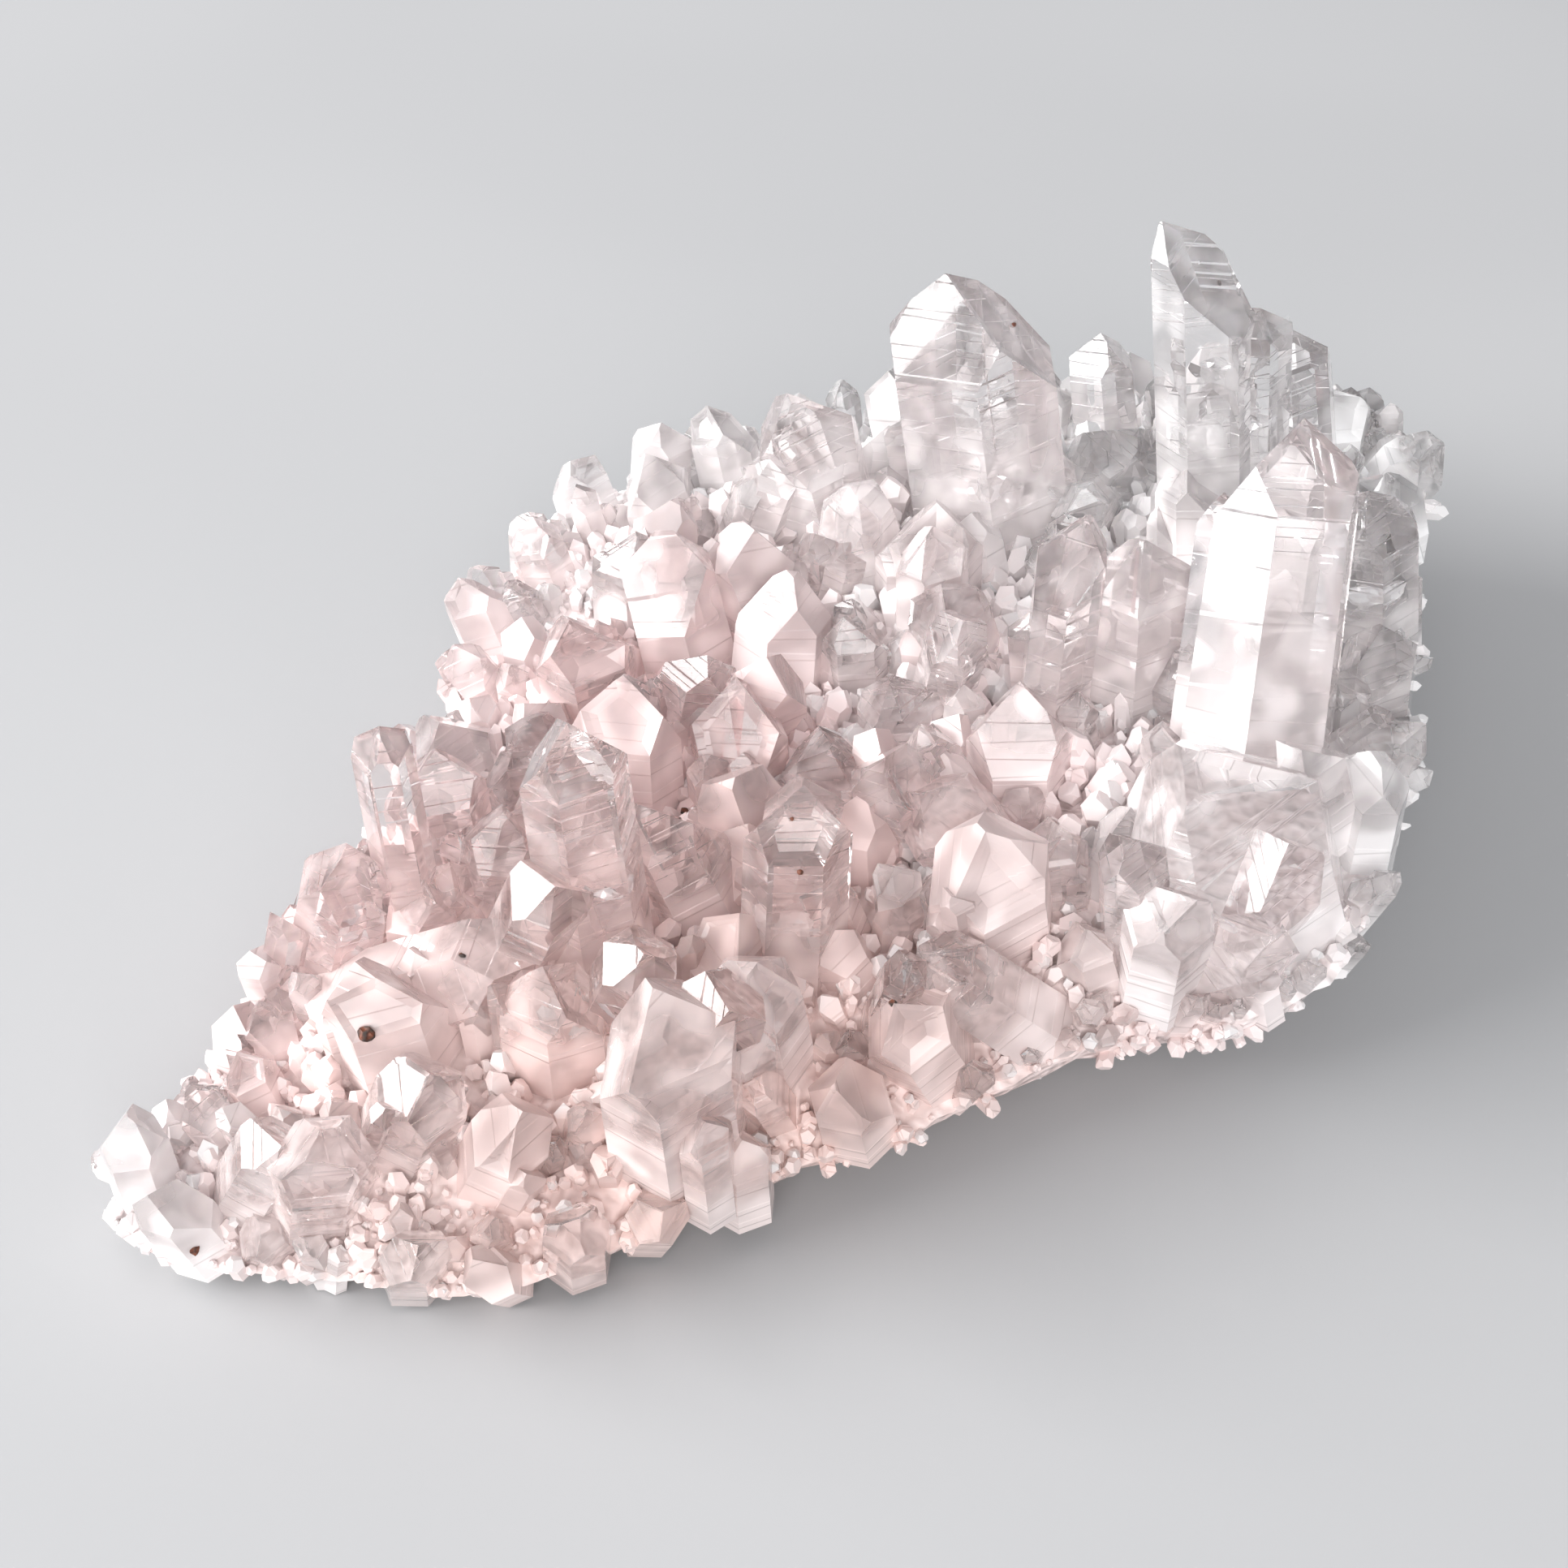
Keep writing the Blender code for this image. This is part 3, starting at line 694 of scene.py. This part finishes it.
POINTS = [
    Point("tall_front", 17.8, -21.3, 23.2, 11.2, 30, 46, 10, 0.8, 0.0, 0.0, "clear"),
    Point("tall_back", 32.2, -1.0, 24.6, 6.6, 8, 146, -64, 0.95, 0.5, 0.0, "clear"),
    Point("tall_back_second", 35.6, -1.9, 18.0, 5.8, 7, 140, 40, 0.9, 0.3, 0.0, "clear"),
    Point("tall_back_third", 39.4, -3.0, 15.0, 6.0, 12, 120, 15, 0.9, 0.2, 0.0, "clear"),
    Point("broad_back", 21.6, 10.4, 20.5, 11.8, 9, 146, -34, 0.96, 0.12, 0.0, "clear"),
    Point("stub_back", 26.4, 5.5, 6.5, 4.8, 40, -140, 0, 0.9, 0.0, 0.2, "milky"),
    Point("slim_middle", 11.0, -9.5, 16.6, 5.8, 1, -34, -154, 0.92, 0.3, 0.0, "clear"),
    Point("pink_wall", 17.5, -10.5, 12.5, 7.8, 3, 146, 20, 0.9, 0.1, 0.1, "pink"),
    Point("clear_left", -30.4, 1.6, 15.9, 4.5, 2, 116, 66, 0.9, 0.15, 0.0, "clear"),
    Point("block_left", -21.7, 12.6, 7.2, 5.6, 12, -136, 35, 0.9, 0.2, 0.0, "clear"),
    Point("blunt_left", -25.5, 5.7, 8.5, 5.4, 2, 146, 10, 0.9, 0.0, 0.0, "clear"),
    Point("tall_left", -22.7, -8.4, 19.0, 6.6, 3, 146, 18, 0.88, 0.0, 0.0, "clear"),
    Point("lean_left", -15.2, -8.4, 9.0, 6.2, 24, 123, 8, 0.9, 0.2, 0.0, "clear"),
    Point("flat_top", -13.7, -15.6, 13.0, 6.2, 5, 35, -4, 0.94, 0.0, 0.15, "clear"),
    Point("egg_left", -36.1, 3.1, 9.8, 6.4, 15, -34, 30, 0.85, 0.0, 0.1, "clear"),
    Point("mirror_left", -26.7, -5.3, 12.5, 6.2, 26, -83, 40, 0.9, 0.2, 0.0, "pink"),
    Point("mirror_middle", -24.2, -12.1, 12.0, 5.0, 28, -96, 32, 0.9, 0.1, 0.0, "pink"),
    Point("mirror_low", -21.8, -16.9, 12.5, 5.4, 34, -101, 23, 0.9, 0.1, 0.0, "pink"),
    Point("milky_front", -25.2, -22.0, 12.5, 9.4, 14, -130, 25, 0.86, 0.0, 0.3, "milky"),
    Point("milky_small", -18.3, -20.3, 8.8, 5.6, 12, -154, 50, 0.9, 0.0, 0.1, "milky"),
    Point("slim_front", -11.9, -22.6, 8.5, 3.4, 20, -96, 30, 0.9, 0.0, 0.0, "clear"),
    Point("dark_front", -10.1, -26.0, 7.8, 5.8, 26, -165, 25, 0.9, 0.0, 0.0, "pink"),
    Point("side_front", -4.9, -27.0, 9.6, 5.4, 42, 160, 10, 0.9, 0.0, 0.0, "clear"),
    Point("roof_middle", -1.5, -19.8, 9.6, 8.2, 17, -153, 20, 0.9, 0.0, 0.0, "pink"),
    Point("side_middle", 0.8, -14.6, 8.2, 6.2, 35, 178, 45, 0.9, 0.0, 0.0, "clear"),
    Point("broad_front", 12.1, -26.7, 11.2, 13.5, 20, 173, 22, 0.9, 0.0, 0.2, "milky"),
    Point("mirror_right", 9.9, -29.0, 10.0, 7.4, 21, -103, 36, 0.9, 0.0, 0.0, "clear"),
    Point("upright_front", 3.2, -27.2, 9.8, 4.6, 9, 178, 30, 0.9, 0.0, 0.1, "clear"),
    Point("lying_front", 6.5, -30.2, 7.0, 5.6, 42, -77, 15, 0.9, 0.0, 0.0, "clear"),
    Point("milky_right", 2.8, -29.6, 8.6, 5.6, 15, -134, 35, 0.88, 0.0, 0.25, "milky"),
    Point("rim_right_high", 24.4, -24.4, 5.6, 5.2, 43, -34, 20, 0.9, 0.0, 0.0, "clear"),
    Point("rim_right_low", 20.8, -28.8, 7.4, 5.4, 2, -173, 55, 0.9, 0.0, 0.15, "milky"),
    Point("block_right", 34.3, -15.2, 11.2, 6.4, 10, 146, 28, 0.92, 0.0, 0.15, "clear"),
    Point("cap_right", 29.1, -20.4, 7.6, 5.6, 12, -162, 10, 0.9, 0.0, 0.0, "clear"),
    Point("pink_back", 10.9, 3.1, 9.8, 5.4, 3, 146, 15, 0.9, 0.0, 0.0, "pink"),
    Point("mirror_back", 7.9, -1.8, 10.8, 4.8, 23, -115, 40, 0.9, 0.0, 0.0, "pink"),
    Point("front_left_mirror", -47.0, -10.0, 8.5, 4.8, 28, -67, 38, 0.9, 0.2, 0.0, "clear"),
    Point("front_left_round", -44.5, -13.0, 9.5, 6.0, 24, -92, 5, 0.88, 0.0, 0.2, "clear"),
    Point("lying_left", -34.5, -3.5, 11.0, 7.5, 62, -40, 15, 0.85, 0.0, 0.0, "pink"),
    Point("diamond_left", -38.3, -12.5, 8.0, 5.4, 23, -73, 40, 0.9, 0.0, 0.0, "clear"),
    Point("low_front", -35.0, -17.0, 6.0, 5.8, 23, -64, 42, 0.9, 0.0, 0.0, "pink"),
    Point("edge_back", 3.6, 27.0, 6.0, 6.2, 14, 146, 33, 0.9, 0.0, 0.0, "pink"),
    Point("edge_back_pale", 16.0, 26.5, 6.5, 4.4, 4, 146, 12, 0.9, 0.0, 0.0, "milky"),
    Point("edge_back_small", 19.2, 25.5, 6.8, 3.4, 6, 120, 40, 0.9, 0.0, 0.0, "clear"),
    Point("back_right", 47.0, 2.0, 5.0, 7.0, 12, 60, 5, 0.9, 0.0, 0.2, "milky"),
    Point("back_right_low", 47.5, -4.0, 4.5, 6.0, 30, -30, 25, 0.9, 0.0, 0.2, "milky"),
]
print("points read off the photo", len(POINTS))

# %% [markdown]
# A point is made upright at the origin, cut, given its maps, and only then leaned over and moved to
# its foot on the plate. Two series of chance are drawn from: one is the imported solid's own, so that
# the large shapes match it, and the other is for everything that only the scene has.

# %% Planting a point
# A face is a tip face if it looks up at least this much and is this large, as a share of the
# point's width squared.
TIP_FACE_SLOPE = 0.4
TIP_FACE_LEAST = 0.06

rng = random.Random(SEED)
detail = random.Random(SEED + 1)
taken = []
loose = bpy.data.collections.new("loose_points")
scene.collection.children.link(loose)


def surface_at(x, y):
    """The spot on the plate nearest to one just over its crown, so that a rim point sits on the rim."""
    _, place, _, _ = feet.closest_point_on_mesh(Vector((x, y, crown(x, y))) * MM)
    return place


def plant(bm, place):
    """Moves a finished point to its place. It stays an object of its own until all are joined."""
    mesh = bpy.data.meshes.new("point")
    bm.to_mesh(mesh)
    bm.free()
    mesh.transform(TO_MIDDLE @ Matrix.Scale(MM, 4) @ place)
    loose.objects.link(bpy.data.objects.new("point", mesh))


def dress(bm, width, windows, ledges):
    """Cuts the skeletal growth into a point. A window comes into each tip face by that chance."""
    bm.normal_update()
    if ledges:
        sink_bands(bm, width, detail.randint(*LEDGES), detail)
    least = TIP_FACE_LEAST * width * width
    for face in [f for f in bm.faces if f.normal.z > TIP_FACE_SLOPE and f.calc_area() > least]:
        if detail.random() < windows:
            sink_window(bm, face, width, detail.randint(*SUNK_STEPS), detail)


# %% [markdown]
# Quartz often grows in step: smaller points stand on the sides of a larger one, turned and leaned
# just as it is, so that their faces catch the light together. They break up the smooth sides.

# %% Points that grew in step
# The width that a point needs to carry any, and then their own sizes as shares of that point's.
COMPANIONS_FROM_WIDTH = 4.0
COMPANION_LENGTH = (0.35, 0.85)
COMPANION_WIDTH = (0.25, 0.5)
COMPANION_OFF = (0.3, 0.5)
COMPANION_TAPER = 0.93
COMPANION_LONG_FACE = (0.0, 0.4)


def plant_companions(length, width, stand, milk, tint, count):
    """Smaller points on the sides of a larger one, that grew in step with it and the same way up."""
    for _ in range(count):
        own_length = length * detail.uniform(*COMPANION_LENGTH)
        own_width = width * detail.uniform(*COMPANION_WIDTH)
        aside = detail.uniform(0, math.tau)
        off = width * detail.uniform(*COMPANION_OFF)
        long_face = detail.uniform(*COMPANION_LONG_FACE)
        bm = make_point(own_length, own_width, COMPANION_TAPER, long_face, 0.0, detail)
        lay_maps(bm, own_length, milk, tint, detail.random())
        plant(bm, stand @ Matrix.Translation((math.cos(aside) * off, math.sin(aside) * off, 0)))


# %% [markdown]
# The points whose name starts with "mirror" are the ones that shine pure white in the photo, where
# a flat face throws the window back at the eye. Their faces stay whole, with nothing cut in them.

# %% Grow the points that stand out
CHANCE_WINDOW = 0.45
LEDGES_FROM_LENGTH = 11.0
VEILS_PER_MM = 0.12

for point in POINTS:
    foot = surface_at(point.x, point.y)
    bm = make_point(point.length, point.width, point.taper, point.long_face, point.blunt, rng)
    whole = point.name.startswith("mirror")
    dress(bm, point.width, 0.0 if whole else CHANCE_WINDOW, point.length > LEDGES_FROM_LENGTH)
    for _ in range(round(point.length * VEILS_PER_MM * detail.uniform(0.5, 1.5))):
        add_veil(bm, point.length, point.width, detail)
    kind = "clear" if whole else point.finish
    milk = detail.uniform(*MILK[kind])
    tint = tint_at(foot / MM, detail, TINT_DEPTH[kind])
    lay_maps(bm, point.length, milk, tint, detail.random())
    stand = Matrix.Translation(foot / MM) @ turned(point.turn, point.lean, point.toward)
    plant(bm, stand)
    if point.width > COMPANIONS_FROM_WIDTH and not whole:
        plant_companions(point.length, point.width, stand, milk, tint, detail.randint(0, 2))
    taken.append((foot, point.width * 0.5))

# %% [markdown]
# Between them the plate is full of smaller points. Each takes the roomiest of a few spots drawn by
# chance, which spreads them evenly, and they shrink towards the rim. The seed is the one that the
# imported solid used, so they stand where its points stand.

# %% Smaller points
# How many, the least and most width, and the least and most length as shares of the width. The
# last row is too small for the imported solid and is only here.
FILLERS = [
    (44, 5.8, 8.0, 0.9, 1.5),
    (60, 4.6, 6.4, 0.9, 1.6),
    (190, 2.4, 4.0, 0.9, 1.8),
]
FILLER_GAP = 0.5
FILLER_TILT = 22.0
FILLER_UPWARD = 0.9
FILLER_TAPER = (0.82, 0.96)
FILLER_LONG_FACE = (0.0, 0.25)
FILLER_BLUNT = (0.0, 0.0, 0.1, 0.2)
FILLER_CHANCE_WINDOW = 0.4
# Fillers nearer to the rim than this share carry no smaller points, so the outline stays.
COMPANIONS_FROM_SHARE = 0.75
SEAT_LEAST_SLOPE = 0.3
SEAT_LEAST_HEIGHT = 2.8
SEAT_SPREAD = 1.5
SEATS_TRIED = 14
RIM_SHARE = 0.5
RIM_BAND = 12.0
# Where the milky ends begin, the share of milky points there and elsewhere, and that of clear ones.
THICK_END = 42.0
THIN_TIP = -44.0
MILKY_AT_ENDS = 0.55
MILKY_ELSEWHERE = 0.12
CLEAR_SHARE = 0.28


def roomiest_seat():
    """Of a few seats drawn by chance, the one with the most room round it, and the slope there."""
    best = None
    for _ in range(SEATS_TRIED):
        aside = Vector((rng.uniform(-1, 1), rng.uniform(-1, 1), 0)) * SEAT_SPREAD * MM
        _, foot, normal, _ = feet.closest_point_on_mesh(rng.choice(seats) + aside)
        room = min((foot - other).length - gap * MM for other, gap in taken)
        if best is None or room > best[0]:
            best = (room, foot, normal)
    return best[1:]


def rim_share(place):
    """How much a filler shrinks for being near the rim."""
    away = min(math.hypot(place.x / MM - x, place.y / MM - y) for x, y, _ in outline)
    return RIM_SHARE + (1 - RIM_SHARE) * min(1.0, away / RIM_BAND)


def kind_at(place):
    """The finish that small points have about here: milky at both ends, mostly pink elsewhere."""
    x, y = place.x / MM, place.y / MM
    milky = MILKY_AT_ENDS if x - y > THICK_END or x < THIN_TIP else MILKY_ELSEWHERE
    chance = detail.random()
    if chance < milky:
        return "milky"
    return "clear" if chance > 1 - CLEAR_SHARE else "pink"


seats = [
    face.center.copy()
    for face in plate_mesh.polygons
    if face.normal.z > SEAT_LEAST_SLOPE and face.center.z > SEAT_LEAST_HEIGHT * MM
]
for count, least_width, most_width, least_length, most_length in FILLERS:
    for _ in range(count):
        foot, normal = roomiest_seat()
        width = rng.uniform(least_width, most_width) * rim_share(foot)
        length = width * rng.uniform(least_length, most_length)
        tilt = math.tan(math.radians(rng.uniform(0, FILLER_TILT)))
        aside = rng.uniform(0, math.tau)
        way = (normal + Vector((0, 0, FILLER_UPWARD))).normalized()
        way += Vector((math.cos(aside), math.sin(aside), 0)) * tilt
        lean = math.degrees(way.angle(Vector((0, 0, 1))))
        toward = math.degrees(math.atan2(way.y, way.x))
        blunt = rng.choice(FILLER_BLUNT)
        taper = rng.uniform(*FILLER_TAPER)
        bm = make_point(length, width, taper, rng.uniform(*FILLER_LONG_FACE), blunt, rng)
        dress(bm, width, FILLER_CHANCE_WINDOW, False)
        kind = kind_at(foot)
        milk = detail.uniform(*MILK[kind])
        tint = tint_at(foot / MM, detail, TINT_DEPTH[kind])
        lay_maps(bm, length, milk, tint, detail.random())
        stand = Matrix.Translation(foot / MM) @ turned(rng.uniform(0, 360), lean, toward)
        plant(bm, stand)
        if width > COMPANIONS_FROM_WIDTH and rim_share(foot) > COMPANIONS_FROM_SHARE:
            plant_companions(length, width, stand, milk, tint, detail.randint(1, 2))
        taken.append((foot, width * FILLER_GAP))

# %% [markdown]
# The kept plate is the same plate with a much finer skin: it is divided, then pushed about by
# noise in lumps of a few millimetres and grains of under one.

# %% The plate itself
PLATE_CUTS = 5
# The size and the height of each kind of lump. Under SKIN_FADE the skin flattens to the floor.
SKIN_LUMPS = ((2.6, 0.35), (0.9, 0.22))
SKIN_FADE = 1.5


def new_piece(name, bm, finish):
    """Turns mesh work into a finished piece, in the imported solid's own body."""
    mesh = bpy.data.meshes.new(name)
    bm.to_mesh(mesh)
    bm.free()
    mesh.materials.append(MATERIALS[finish])
    piece = bpy.data.objects.new(name, mesh)
    scene.collection.objects.link(piece)
    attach(piece, "root")
    mesh.calc_loop_triangles()
    print(name, "triangles", len(mesh.loop_triangles))
    return piece


bm = bmesh.new()
bm.from_mesh(plate_mesh)
bmesh.ops.triangulate(bm, faces=[f for f in bm.faces if len(f.verts) > 4])
bmesh.ops.subdivide_edges(bm, edges=bm.edges[:], cuts=PLATE_CUTS, use_grid_fill=True, smooth=0.0)
bm.normal_update()
pushes = []
for vert in bm.verts:
    place = vert.co / MM
    push = sum(noise.noise(place / size) * height for size, height in SKIN_LUMPS)
    pushes.append((vert, vert.normal * push * min(1.0, place.z / SKIN_FADE)))
for vert, push in pushes:
    vert.co += push * MM
tints = bm.loops.layers.uv.new("tint")
for vert in bm.verts:
    tint = tint_at(vert.co / MM, detail)
    for loop in vert.link_loops:
        loop[tints].uv = tint
bm.transform(TO_MIDDLE)
plate = new_piece("milky_plate", bm, "plate")
bpy.data.objects.remove(feet, do_unlink=True)

# %% [markdown]
# All the larger points are one body of quartz, as in the real cluster, so light passes from one
# into the next. They are joined by a union, and the maps ride through it.

# %% Join the points
first = loose.objects[0]
loose.objects.unlink(first)
scene.collection.objects.link(first)
union = first.modifiers.new("union", "BOOLEAN")
union.operation = "UNION"
union.solver = "MANIFOLD"
union.operand_type = "COLLECTION"
union.collection = loose
graph = bpy.context.evaluated_depsgraph_get()
bm = bmesh.new()
bm.from_mesh(first.evaluated_get(graph).to_mesh())
print("edges without two faces after the union", sum(len(e.link_faces) != 2 for e in bm.edges))
for spare in [first, *loose.objects]:
    bpy.data.objects.remove(spare)
bpy.data.collections.remove(loose)
points = new_piece("quartz_points", bm, "points")

# %% [markdown]
# Fine crystals cover whatever plate is still bare, down to the rough edge of the rim. There are
# thousands, so a few templates are made once, and copies are stood on the plate by chance. A spot
# under a larger point is left out: a ray straight up from it would leave the point from inside.

# %% Fine crystals
TEMPLATES = 12
FINE_COUNT = 8000
# How high over the floor they start, in millimetres, and how far down a face may look.
FINE_FROM_HEIGHT = 0.8
FINE_LEAST_SLOPE = -0.3
# The rim is crowded with them, and so is the thin end, which lies beyond this place.
EDGE_CROWDING = 2.5
EDGE_SLOPE = 0.6
THIN_END = -38.0
# Their widths in millimetres, mostly small ones, and their shape for a width of one.
FINE_LEAST = 0.6
FINE_MOST = 2.2
FINE_SMALLNESS = 1.6
FINE_LENGTH = (1.0, 1.8)
FINE_TAPER = 0.9
FINE_LONG_FACE = (0.0, 0.25)
FINE_ROOT = 0.8
# How much they turn upwards, how much their ways scatter, and how milky they are.
FINE_UPWARD = 0.5
FINE_SCATTER = 0.35
FINE_MILK = (0.1, 0.7)


def is_bare(place):
    """Whether a spot of the plate is in the open, and not inside a larger point."""
    up = Vector((0, 0, 1))
    hit, _, normal, _ = points.ray_cast(place, up)
    return not hit or normal.dot(up) < 0


def crowding(site):
    """How likely a fine crystal is on a face of the plate."""
    outer = site.normal.z < EDGE_SLOPE or site.center.x < THIN_END * MM
    return site.area * (EDGE_CROWDING if outer else 1.0)


def make_template():
    """One fine crystal with a width of one."""
    length = detail.uniform(*FINE_LENGTH)
    bm = make_point(length, 1.0, FINE_TAPER, detail.uniform(*FINE_LONG_FACE), 0.0, detail)
    cut_off(bm, Vector((0, 0, -FINE_ROOT)), Vector((0, 0, -1)))
    return bm


def any_way():
    """A shift by chance, as likely in each direction as in any other."""
    return Vector((detail.uniform(-1, 1), detail.uniform(-1, 1), detail.uniform(-1, 1)))


druse = bmesh.new()
templates = [make_template() for _ in range(TEMPLATES)]
sites = [
    face
    for face in plate.data.polygons
    if face.center.z > FINE_FROM_HEIGHT * MM and face.normal.z > FINE_LEAST_SLOPE
]
chosen = detail.choices(sites, weights=[crowding(site) for site in sites], k=FINE_COUNT)
bare = [site for site in chosen if is_bare(site.center)]
print("fine crystals", len(bare))
for site in bare:
    foot = site.center
    size = FINE_LEAST + (FINE_MOST - FINE_LEAST) * detail.random() ** FINE_SMALLNESS
    size *= rim_share(foot)
    way = (site.normal + Vector((0, 0, FINE_UPWARD))).normalized() + any_way() * FINE_SCATTER
    stand = way.to_track_quat("Z", "Y").to_matrix().to_4x4()
    spin = Matrix.Rotation(detail.uniform(0, math.tau), 4, "Z")
    bm = detail.choice(templates).copy()
    milk = detail.uniform(*FINE_MILK)
    tint = tint_at(foot / MM, detail)
    lay_maps(bm, sum(FINE_LENGTH) / 2, milk, tint, detail.random())
    mesh = bpy.data.meshes.new("fine")
    bm.to_mesh(mesh)
    bm.free()
    mesh.transform(Matrix.Translation(foot) @ stand @ spin @ Matrix.Scale(size * MM, 4))
    druse.from_mesh(mesh)
    bpy.data.meshes.remove(mesh)
fine = new_piece("fine_points", druse, "fine")

# %% [markdown]
# A few specks of iron oxide were caught in the crust: a rusty brown bit near the thin end, and dark
# ones no larger than a pinhead on the points. They are dull and rough, so each is a small lumpy
# ball, half sunk in the quartz.

# %% Specks
RUST = (0.16, 0.045, 0.02, 1.0)
DARK = (0.05, 0.035, 0.03, 1.0)
SPECK_CUTS = 2
SPECK_ROUGH = 0.45
# Where each speck is, in millimetres, and its radius.
SPECKS = [
    (-38.4, -9.7, 12.9, 0.5),
    (-37.7, -9.3, 12.7, 0.3),
    (-13.7, -16.1, 21.6, 0.12),
    (-14.3, -17.8, 19.1, 0.18),
    (-31.4, -8.2, 13.8, 0.25),
    (-12.0, -1.4, 10.0, 0.3),
    (-51.1, -11.7, 4.7, 0.3),
    (-13.3, -25.6, 14.6, 0.22),
    (22.9, 10.6, 28.5, 0.16),
    (31.0, 0.0, 34.0, 0.2),
]

iron = Finish("iron_oxide")
patches = iron.spread(iron.blotches(0.4), 0.35, 0.65, 0.0, 1.0)
iron.put(iron.shader.inputs["Base Color"], iron.mix(patches, RUST, DARK))
iron.put(iron.shader.inputs["Roughness"], iron.spread(patches, 0.0, 1.0, 0.55, 0.8))
iron.put(iron.shader.inputs["Normal"], iron.bump(patches, 0.1))
MATERIALS["iron"] = iron.material

bm = bmesh.new()
for x, y, z, radius in SPECKS:
    made = bmesh.ops.create_icosphere(bm, subdivisions=SPECK_CUTS, radius=radius)["verts"]
    for vert in made:
        vert.co *= 1.0 + SPECK_ROUGH * noise.noise(vert.co / radius * 1.5 + Vector((x, y, z)))
    bmesh.ops.translate(bm, vec=(x, y, z), verts=made)
bm.transform(Matrix.Scale(MM, 4))
specks = new_piece("specks", bm, "iron")

# %% [markdown]
# The four pieces together are the one cluster, so all four take the imported solid's place.

for piece in (plate, points, fine, specks):
    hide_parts(NODE)
